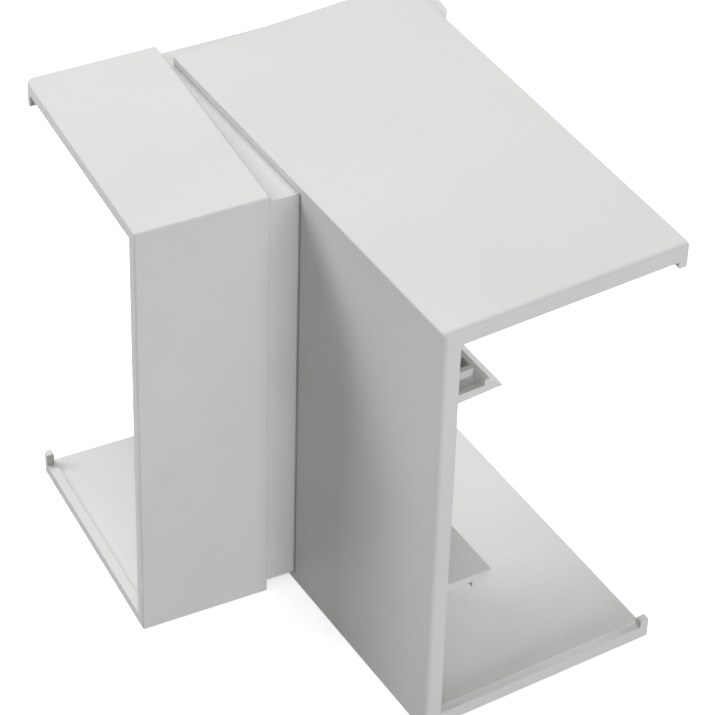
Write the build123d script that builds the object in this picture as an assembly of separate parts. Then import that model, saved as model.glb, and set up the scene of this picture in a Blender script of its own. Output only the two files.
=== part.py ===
from build123d import *
import os
from math import cos, radians, sin, sqrt

# Adjustable inside corner cover for cable trunking, in millimetres.
# Two moulded halves meet at an upright pivot. The right half is the outer one: its top and bottom
# plates run on past the corner. The left half is the inner one: behind its sleeve it steps down to
# a neck and two tongues, which turn between the plates of the right half on a pair of hidden pegs.
# The working frame has x = 0 on the right half's front face, y = 0 on the neck's front face when
# the corner stands square, and z = 0 at half height.

# Both halves
cover_height = 108.0          # outside, over the top and bottom plates
cover_depth = 57.0            # front face to the wall behind
wall = 1.9                    # front walls, plates and tongues
outer_round = 0.4             # outside edges along the covers
root_round = 0.8              # inside corners of the covers

# Pivot between the halves
swing = 7.5                   # degrees to either side of square
opened_past_square = 5.5      # degrees, as stored
pivot_inset = 3.0             # axis behind the right half's front face and behind the neck's
slide_gap = 0.2               # between a plate and the tongue that slides on it
stop_gap = 0.3                # left between the halves at either end of the swing
peg_radius = 1.6
peg_clearance = 0.05          # radial, peg in its recess
peg_reach = 1.0               # length of peg inside the plate
peg_end_gap = 0.2             # end of a peg to the bottom of its recess

# Right half
right_front_length = 53.0     # front wall from the mouth to the corner
plate_tail = 51.5             # plates behind the neck's front face
right_rim = 3.9               # wall thickness at the mouth
right_rim_width = 2.4
right_mouth_round = 1.2       # outside edges round the mouth
right_corner_cut = 0.3        # off the plates' corners at the wall side of the mouth

# Left half
sleeve_length = 29.2
neck_setback = 1.2            # neck's front face behind the sleeve's
step_width = 2.4              # web that joins sleeve and neck
neck_lap = 5.0                # neck's front wall past the corner, behind the right half
tongue_toe = 24.0             # tongue's front edge past the corner
tongue_end = 10.0             # tongue's edge along the far wall
tongue_round = 1.5
left_rim = 2.7
left_rim_width = 2.2
left_mouth_round = 0.4
left_corner_cut = 1.0

# Grip nibs at the wall side of each mouth
nib_height = 5.6              # outside face to the nib's tip
nib_depth = 2.3
nib_length = 1.7
nib_round = 0.5               # edges of the nib's tip

# Stop lugs behind each mouth, where the trunking ends
lug_setback = 10.2            # mouth to the lug's near end
lug_level = 25.2              # flat side at the tip, from half height
lug_reach = 21.6              # front face to the lug's tip
lug_height = 3.2              # flat side to the open side
lug_draft = 0.8               # rise of the flat side from root to tip
lug_bevel_run = 3.4
lug_bevel_rise = 2.8
lug_skin = 1.2                # floor, ends and cross ribs of the cored side
lug_lip = 1.1                 # rim of the core along the bevel
lug_end_height = 1.7          # end wall towards the mouth
lug_cell = 4.2                # wished length of a cell of the core
right_lug_length = 22.0
left_lug_length = 14.0

# Sizes that follow from the ones above
plate_step = wall + slide_gap
neck_half_height = cover_height / 2 - plate_step
tongue_back = cover_depth - neck_setback
turned_sine = sin(radians(swing))
turned_cosine = cos(radians(swing))
closing_travel = pivot_inset * ((1 + turned_sine) / turned_cosine - 1)
opening_travel = plate_tail * turned_sine - pivot_inset * (1 + turned_sine - turned_cosine)
corner_gap = closing_travel + stop_gap
neck_length = opening_travel + stop_gap
plate_length = right_front_length + corner_gap + plate_tail
pivot = Pos(pivot_inset, pivot_inset, 0)

# Frames of the two mouths: x is depth behind the front face, y height, z the way in
right_mouth = Plane((0, -corner_gap - right_front_length, 0), (1, 0, 0), (0, 1, 0))
left_mouth = Plane((-neck_length - sleeve_length, -neck_setback, 0), (0, 1, 0), (1, 0, 0))

# How a box or cylinder sits on its placing point
FROM_CORNER = (Align.MIN, Align.MIN, Align.MIN)
FROM_FRONT = (Align.MIN, Align.MIN, Align.CENTER)
ON_FACE = (Align.CENTER, Align.CENTER, Align.MIN)


def c_section(front, plate, outer=0.0, inner=0.0):
    """Section of a cover: a front wall and two plates, open towards the wall."""
    outside = Pos(cover_depth / 2, 0) * Rectangle(cover_depth, cover_height)
    hollow = Pos(front + cover_depth / 2, 0) * Rectangle(cover_depth, cover_height - 2 * plate)
    if outer:
        outside = fillet(outside.vertices().sort_by(Axis.X)[:2], outer)
    if inner:
        hollow = fillet(hollow.vertices().sort_by(Axis.X)[:2], inner)
    return outside - hollow


def run(section, start, length):
    """A section carried along the way in, in the mouth's frame."""
    return extrude(Pos(0, 0, start) * section, amount=length)


def block(depths, heights, ways):
    """A box from its two limits in depth, height and way in, in the mouth's frame."""
    size = (depths[1] - depths[0], heights[1] - heights[0], ways[1] - ways[0])
    return Pos(depths[0], heights[0], ways[0]) * Box(*size, align=FROM_CORNER)


def both_plates(upper):
    """A feature of the upper plate with its mirror image on the lower one."""
    return upper + mirror(upper, about=Plane.XZ)


def nib():
    """Small hook at the wall side of the mouth, which grips behind the trunking's edge."""
    depths = (cover_depth - nib_depth, cover_depth)
    hook = block(depths, (cover_height / 2 - nib_height, cover_height / 2), (0, nib_length))
    return fillet(hook.edges().filter_by(Axis.Z).group_by(Axis.Y)[0], nib_round)


def stop_lug(length):
    """Shelf on the front wall's inside, flat towards half height and cored towards the plate."""
    root = wall / 2
    crest = lug_level + lug_height
    bevel_depth = lug_reach - lug_bevel_run
    outline = Polyline(
        (root, lug_level - lug_draft),
        (lug_reach, lug_level),
        (bevel_depth, lug_level + lug_bevel_rise),
        (bevel_depth, crest),
        (root, crest),
        close=True,
    )
    lug = run(make_face(outline), lug_setback, length)
    cell_depths = (wall + lug_skin, bevel_depth - lug_lip)
    cell_heights = (lug_level + lug_skin, crest + lug_skin)
    cell_count = max(1, round((length - lug_skin) / lug_cell))
    cell_pitch = (length - lug_skin) / cell_count
    for cell in range(cell_count):
        start = lug_setback + lug_skin + cell * cell_pitch
        lug -= block(cell_depths, cell_heights, (start, start + cell_pitch - lug_skin))
    end_heights = (lug_level + lug_end_height, crest + lug_skin)
    return lug - block(cell_depths, end_heights, (lug_setback - lug_skin, lug_setback + 2 * lug_skin))


def finish_mouth(cover, rim, rim_width, mouth_round, corner_cut, lug_length):
    """Adds what a trunking end meets: stiffening rim, nibs, cut corners, round edges and lugs."""
    cover += run(c_section(rim, rim, outer_round), 0, rim_width)
    cover += both_plates(nib())
    end_edges = cover.edges().group_by(Axis.Z)[0]
    plate_limit = cover_height / 2 - outer_round
    front_edges = end_edges.filter_by(lambda edge: edge.center().X < outer_round)
    plate_edges = end_edges.filter_by(lambda edge: abs(edge.center().Y) > plate_limit)
    cover = fillet(front_edges + plate_edges, mouth_round)
    cut_width = corner_cut * sqrt(2)
    cover -= Pos(cover_depth, 0, 0) * Rot(0, 45, 0) * Box(cut_width, 2 * cover_height, cut_width)
    return cover + both_plates(stop_lug(lug_length))


def right_half():
    """Outer half: a cover whose plates run on past its front wall, with a recess for each peg."""
    cover = run(c_section(wall, wall, outer_round, root_round), 0, plate_length)
    plate_inside = cover_height / 2 - wall
    past_front = (right_front_length, plate_length + wall)
    cover -= block((-wall, wall + root_round), (-plate_inside, plate_inside), past_front)
    rim_sizes = (right_rim, right_rim_width, right_mouth_round, right_corner_cut)
    cover = finish_mouth(cover, *rim_sizes, right_lug_length)
    recess = Cylinder(peg_radius + peg_clearance, peg_reach + peg_end_gap, align=ON_FACE)
    recess = pivot * Pos(0, 0, plate_inside) * recess
    return right_mouth * cover - recess - mirror(recess, about=Plane.XY)


def tongue():
    """Upper tongue with its peg: a plate whose free corner is cut back clear of the right channel."""
    start = -neck_length - step_width
    outline = Polyline(
        (start, 0),
        (tongue_toe, 0),
        (cover_depth, tongue_back - tongue_end),
        (cover_depth, tongue_back),
        (start, tongue_back),
        close=True,
    )
    plan = make_face(outline)
    plan = fillet(plan.vertices().sort_by(Axis.X)[2:], tongue_round)
    plate = extrude(Pos(0, 0, neck_half_height - wall) * plan, amount=wall)
    peg = Cylinder(peg_radius, slide_gap + peg_reach, align=ON_FACE)
    return plate + pivot * Pos(0, 0, neck_half_height) * peg


def left_half():
    """Inner half: a short sleeve that steps down to the neck and its two tongues."""
    sleeve = run(c_section(wall, wall, outer_round, root_round), 0, sleeve_length)
    web = c_section(neck_setback + wall, plate_step + wall, outer_round)
    sleeve += run(web, sleeve_length - step_width, step_width)
    rim_sizes = (left_rim, left_rim_width, left_mouth_round, left_corner_cut)
    sleeve = finish_mouth(sleeve, *rim_sizes, left_lug_length)
    neck_size = (neck_length + step_width + neck_lap, wall, 2 * neck_half_height)
    neck_front = Pos(-neck_length - step_width, 0, 0) * Box(*neck_size, align=FROM_FRONT)
    upper = tongue()
    return left_mouth * sleeve + neck_front + upper + mirror(upper, about=Plane.XY)


right = right_half()
left = pivot * Rot(0, 0, -opened_past_square) * pivot.inverse() * left_half()

# The part's own frame: origin under the middle of the whole cover, on the surface it stands on
extent = Compound([right, left]).bounding_box()
to_frame = Pos(-extent.center().X, -extent.center().Y, -extent.min.Z)

os.makedirs("parts", exist_ok=True)
export_step(to_frame * right, "parts/right_half.step")
export_step(to_frame * left, "parts/left_half.step")

pivot_axis = (to_frame * pivot).position
print("pivot axis at x", round(pivot_axis.X, 3), "y", round(pivot_axis.Y, 3))
print("neck length", round(neck_length, 3), "corner gap", round(corner_gap, 3))
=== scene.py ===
# %% [markdown]
# # An adjustable inside corner for cable trunking
# The real object is a pair of plastic mouldings. The outer half slides over one run of trunking, the
# inner half over the next, and a hidden upright pivot lets the pair follow walls that are out of square.
# The shapes come ready and to size from the part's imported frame, so this lesson is about what turns a
# correct grey solid into a moulding: a camera, soft edges, a finish with grain, and studio light.

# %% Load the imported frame
from math import radians

import bmesh
import bpy
from mathutils import Matrix, Vector

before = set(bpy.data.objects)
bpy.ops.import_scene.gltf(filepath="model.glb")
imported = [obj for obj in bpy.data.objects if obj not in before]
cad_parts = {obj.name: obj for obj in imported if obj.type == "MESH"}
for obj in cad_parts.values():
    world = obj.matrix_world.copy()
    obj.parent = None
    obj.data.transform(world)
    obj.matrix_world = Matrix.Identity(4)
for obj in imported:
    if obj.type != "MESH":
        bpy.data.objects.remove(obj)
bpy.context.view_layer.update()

scene = bpy.context.scene
outer_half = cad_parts["right_half"]
inner_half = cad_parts["left_half"]
for half in (outer_half, inner_half):
    print(half.name, "has", len(half.data.polygons), "triangles")

# %% [markdown]
# ## The camera
# The photograph was taken from the front left and well above, from far enough away that upright edges
# hardly lean together, so the lens is long. A camera can be placed by hand and turned by three angles, but
# a turntable is easier to think in: aim at a point in the object, step back along a turn and a tilt, and
# roll a little, because the photograph leans by almost two degrees.

# %% Place the camera on its turntable
AIM = Vector((0.00039, -0.00534, 0.05984))
DISTANCE = 0.7144
TURN, TILT, ROLL = radians(-32.57), radians(40.13), radians(1.74)
SENSOR_WIDTH, FOCAL_LENGTH = 36.0, 172.16    # millimetres

lens = bpy.data.cameras.new("photo_camera")
lens.sensor_width = SENSOR_WIDTH
lens.lens = FOCAL_LENGTH
camera = bpy.data.objects.new("photo_camera", lens)
scene.collection.objects.link(camera)
scene.camera = camera

turned = Matrix.Rotation(TURN, 4, "Z")
tilted = Matrix.Rotation(radians(90) - TILT, 4, "X")
rolled = Matrix.Rotation(ROLL, 4, "Z")
stepped_back = Matrix.Translation((0, 0, DISTANCE))
camera.matrix_world = Matrix.Translation(AIM) @ turned @ tilted @ rolled @ stepped_back
print("camera at", [round(v, 3) for v in camera.matrix_world.translation])

# %% [markdown]
# ## Writing shaders as sums
# A finish is mostly arithmetic on noise, and a dozen Math nodes are hard to read. One small class wraps an
# output socket and overloads the operators, so that an expression such as `0.4 + 0.1 * cloud` adds the
# nodes by itself. A second class holds the material and adds every other kind of node.

# %% A value that changes over a surface
def fill(tree, socket, value):
    """Links a changing value to a socket, or sets a fixed one on it."""
    if isinstance(value, Field):
        tree.links.new(value.socket, socket)
    else:
        socket.default_value = value


class Field:
    """An output socket. Sums and products of it add Math nodes to its material."""

    def __init__(self, tree, socket):
        self.tree, self.socket = tree, socket

    def math_node(self, operation, first, second):
        node = self.tree.nodes.new("ShaderNodeMath")
        node.operation = operation
        for socket, value in zip(node.inputs, (first, second)):
            fill(self.tree, socket, value)
        return Field(self.tree, node.outputs[0])

    def __add__(self, other):
        return self.math_node("ADD", self, other)

    def __radd__(self, other):
        return self.math_node("ADD", other, self)

    def __mul__(self, other):
        return self.math_node("MULTIPLY", self, other)

    def __rmul__(self, other):
        return self.math_node("MULTIPLY", other, self)


# %% A material that is built node by node
class Finish:
    """A new material with its Principled shader."""

    def __init__(self, name):
        self.material = bpy.data.materials.new(name)
        self.material.use_nodes = True
        self.tree = self.material.node_tree
        self.shader = self.tree.nodes["Principled BSDF"]

    def node(self, kind, settings, sockets, output=0):
        """Adds a node, sets it up, then fills its sockets with values or links."""
        node = self.tree.nodes.new("ShaderNode" + kind)
        for name, value in settings.items():
            if name == "stops":
                self.set_stops(node.color_ramp, value)
            else:
                setattr(node, name, value)
        for name, value in sockets.items():
            fill(self.tree, node.inputs[name], value)
        return Field(self.tree, node.outputs[output])

    def set_stops(self, ramp, stops):
        """Sets a ramp's two stops, each a place and a grey."""
        for element, (place, grey) in zip(ramp.elements, stops):
            element.position = place
            element.color = (grey, grey, grey, 1.0)

    def paint(self, **sockets):
        """Fills the shader's own sockets, named with _ for a space."""
        for name, value in sockets.items():
            fill(self.tree, self.shader.inputs[name.replace("_", " ")], value)


# %% Blends, noises and soft spots
MIX_AMOUNT, MIX_FIRST, MIX_SECOND = 0, 6, 7    # a Mix node's sockets for colours
MIX_RESULT = 2


def blend(finish, amount, first, second):
    """Colour that goes from first to second with amount."""
    sockets = {MIX_AMOUNT: amount, MIX_FIRST: first, MIX_SECOND: second}
    return finish.node("Mix", {"data_type": "RGBA"}, sockets, output=MIX_RESULT)


def noise(finish, place, scale, detail, roughness):
    """Noise between 0 and 1, with about as many lumps to a unit of place as scale says."""
    sockets = {"Vector": place, "Scale": scale, "Detail": detail, "Roughness": roughness}
    return finish.node("TexNoise", {}, sockets)


def soft_spot(finish, place, point, radius):
    """One at a point of the object, falling smoothly to nothing at the radius."""
    ends = {0: place, 1: point}
    away = finish.node("VectorMath", {"operation": "DISTANCE"}, ends, output="Value")
    fall = {"Value": away, "From Min": 0.0, "From Max": radius, "To Min": 1.0, "To Max": 0.0}
    return finish.node("MapRange", {"interpolation_type": "SMOOTHSTEP"}, fall)


# %% [markdown]
# ## The moulded plastic
# The covers are light grey, through-coloured plastic from a lightly eroded mould. Up close such a face has
# a grain finer than half a millimetre, and over centimetres the tone and the gloss drift a little where the
# melt ran. A single flat grey would show none of that. So noises are laid over each other, each at its own
# scale: a wide cloud for the tone, one drawn out into streaks along the moulding for the gloss, and a fine
# grain with pores for the bump. Object coordinates are in metres, so a scale of 2500 makes grains of about
# 0.4 mm.
#
# No moulded edge is knife sharp either, and the soft turn of the light on an edge is what the eye reads as
# plastic. The frame's solids carry the larger rounds. A Bevel modifier could cut the small ones, but it
# needs joined faces, and welding the frame's loose triangles spoils the shading where a round runs out
# into a flat face. A Bevel node leaves the mesh alone: it turns the normals near each edge, as if the edge
# were round, and the grain's bump is laid on top.

# %% Mix the plastic
GREY_DARK = (0.602, 0.590, 0.564, 1.0)
GREY_LIGHT = (0.640, 0.627, 0.600, 1.0)
SMUDGE = (0.50, 0.490, 0.470, 1.0)
TONE_STOPS = [(0.32, 0.0), (0.68, 1.0)]
CLOUD_SCALE, GRAIN_SCALE, PORE_SCALE = 22.0, 2500.0, 1500.0
STREAK_SIZE = (0.00625, 0.0625, 0.0222)      # metres across, along and up the moulding
CLOUD_SHARE, STREAK_SHARE = 0.85, 0.15       # of the tone
GRAIN_SHARE, PORE_SHARE = 0.7, 0.3           # of the bump
BUMP_STRENGTH, BUMP_DEPTH = 0.12, 0.0001
SATIN, STREAK_DULLING, GRAIN_DULLING = 0.40, 0.10, 0.05
EDGE_ROUND, EDGE_RAYS = 0.00025, 6


def moulded_plastic(name, run_turn, smudges):
    """Satin grey plastic; smudges are (point, radius, strength) of faint handling marks."""
    finish = Finish(name)
    place = finish.node("TexCoord", {}, {}, output="Object")
    run = {"Vector": place, "Rotation": (0, 0, run_turn), "Scale": STREAK_SIZE}
    along = finish.node("Mapping", {"vector_type": "TEXTURE"}, run)
    cloud = noise(finish, place, CLOUD_SCALE, detail=3.0, roughness=0.55)
    streak = noise(finish, along, 1.0, detail=4.0, roughness=0.6)
    grain = noise(finish, place, GRAIN_SCALE, detail=2.0, roughness=0.5)
    pores = finish.node("TexVoronoi", {}, {"Vector": place, "Scale": PORE_SCALE})

    drift = CLOUD_SHARE * cloud + STREAK_SHARE * streak
    tone = finish.node("ValToRGB", {"stops": TONE_STOPS}, {"Fac": drift})
    colour = blend(finish, tone, GREY_DARK, GREY_LIGHT)
    for point, radius, strength in smudges:
        mark = soft_spot(finish, place, point, radius) * (strength * cloud)
        colour = blend(finish, mark, colour, SMUDGE)

    edges = finish.node("Bevel", {"samples": EDGE_RAYS}, {"Radius": EDGE_ROUND})
    relief = GRAIN_SHARE * grain + PORE_SHARE * pores
    pressed = {"Strength": BUMP_STRENGTH, "Distance": BUMP_DEPTH, "Height": relief, "Normal": edges}
    bump = finish.node("Bump", {}, pressed)
    dullness = SATIN + STREAK_DULLING * streak + GRAIN_DULLING * grain
    finish.paint(Base_Color=colour, Roughness=dullness, Normal=bump)
    return finish.material


# %% [markdown]
# ## Dressing the halves
# Both halves were moulded from the same plastic, so one function mixes it twice. The streaks follow the way
# that each half runs: the outer one along Y, the inner one 84.5 degrees round from it. A faint handling mark
# sits low on the inner half's front. It could be a second texture, but a soft spot round one point is
# enough, with the cloud to break up its outline.

# %% Dress the two halves
OUTER_RUN, INNER_RUN = 0.0, radians(84.5)
HANDLING_MARK = (Vector((-0.0430, -0.0008, 0.0411)), 0.0036, 0.45)    # point, radius, strength

outer_plastic = moulded_plastic("outer_half_plastic", OUTER_RUN, [])
inner_plastic = moulded_plastic("inner_half_plastic", INNER_RUN, [HANDLING_MARK])
for half, plastic in ((outer_half, outer_plastic), (inner_half, inner_plastic)):
    half.data.materials.clear()
    half.data.materials.append(plastic)
    print(plastic.name, "has", len(plastic.node_tree.nodes), "nodes")

# %% [markdown]
# ## The floor
# The photograph is a product shot on pure white. A white floor in soft light would still render a light
# grey, and the object's shadow would darken it further. A light of its own lifts the whole floor to white
# and keeps only the faintest contact shadow. That glow would also light the covers from below, which the
# photograph doesn't show, so the floor is hidden from bounced light.

# %% Mix the white table
FLOOR_DARK = (0.90, 0.90, 0.90, 1.0)
FLOOR_LIGHT = (0.94, 0.94, 0.94, 1.0)
FLOOR_SCALE = 3.0
FLOOR_DULL, FLOOR_DULLING = 0.8, 0.1
FLOOR_GLOW = 0.6

floor_finish = Finish("white_table")
floor_place = floor_finish.node("TexCoord", {}, {}, output="Object")
floor_cloud = noise(floor_finish, floor_place, FLOOR_SCALE, detail=2.0, roughness=0.5)
floor_tone = blend(floor_finish, floor_cloud, FLOOR_DARK, FLOOR_LIGHT)
floor_finish.paint(Base_Color=floor_tone, Roughness=FLOOR_DULL + FLOOR_DULLING * floor_cloud)
floor_finish.paint(Emission_Color=floor_tone, Emission_Strength=FLOOR_GLOW)
print(floor_finish.material.name, "has", len(floor_finish.tree.nodes), "nodes")

# %% Lay the floor
FLOOR_REACH = 2.0    # metres from the middle to each side

shape = bmesh.new()
bmesh.ops.create_grid(shape, x_segments=2, y_segments=2, size=FLOOR_REACH)
floor_mesh = bpy.data.meshes.new("floor")
shape.to_mesh(floor_mesh)
shape.free()
floor_mesh.materials.append(floor_finish.material)
floor = bpy.data.objects.new("floor", floor_mesh)
floor.visible_diffuse = False
scene.collection.objects.link(floor)
print("floor of", [round(v, 2) for v in floor.dimensions])

# %% [markdown]
# ## Studio light
# In the photograph the tops are the brightest, the faces towards the viewer come next, and the right
# half's front is darkest, with a soft shadow that slants away from the inner corner. The shadow says that
# the key light hangs behind the left half, so that the left half itself is what shades the corner. The
# bright floors inside say that light also comes in from the open wall sides. The rounded edges are as
# light as the faces that they join, so another box hangs high in front. Six soft boxes stand round the
# aim point for that, each given by its turn from +X and its height in degrees, its power in watts and its
# tint, and a faint light tent fills the rest.
#
# The tops look neutral although the shadows are warm, because light that has bounced off the warm grey
# plastic is warmer than the light that fell on it. So the boxes are bluish, and the two that light the
# upright faces most are a touch cooler still. The Standard view shows the colours as they come, where
# Blender's usual view would dull the white.

# %% Put up the light tent
DAYLIGHT = (0.960, 0.980, 1.0)
COOL = (0.930, 0.944, 1.0)
TENT_STRENGTH = 0.175

sky = bpy.data.worlds.new("light_tent")
sky.use_nodes = True
tent = sky.node_tree.nodes["Background"]
tent.inputs["Color"].default_value = (*DAYLIGHT, 1.0)
tent.inputs["Strength"].default_value = TENT_STRENGTH
scene.world = sky
scene.view_settings.view_transform = "Standard"
print(sky.name, "of strength", TENT_STRENGTH)

# %% Hang the soft boxes
BOX_DISTANCE = 1.2
BOX_SIZE = 0.40
SOFT_BOXES = [
    ("key", 140, 30, 4.55, COOL),
    ("key_high", 125, 50, 6.4, DAYLIGHT),
    ("corner_back", 60, 50, 3.9, DAYLIGHT),
    ("wall_side", 0, 10, 9.5, DAYLIGHT),
    ("front_high", 240, 50, 2.3, DAYLIGHT),
    ("front_low", 270, 10, 8.0, COOL),
]

for name, turn, height, power, tint in SOFT_BOXES:
    light = bpy.data.lights.new(name, "AREA")
    light.size = BOX_SIZE
    light.energy = power
    light.color = tint
    lamp = bpy.data.objects.new(name, light)
    swung = Matrix.Rotation(radians(turn), 3, "Z") @ Matrix.Rotation(radians(-height), 3, "Y")
    away = swung @ Vector((1, 0, 0))
    lamp.location = AIM + away * BOX_DISTANCE
    lamp.rotation_euler = away.to_track_quat("Z", "Y").to_euler()
    scene.collection.objects.link(lamp)
    print(name, "at", [round(v, 2) for v in lamp.location], "with", power, "W")
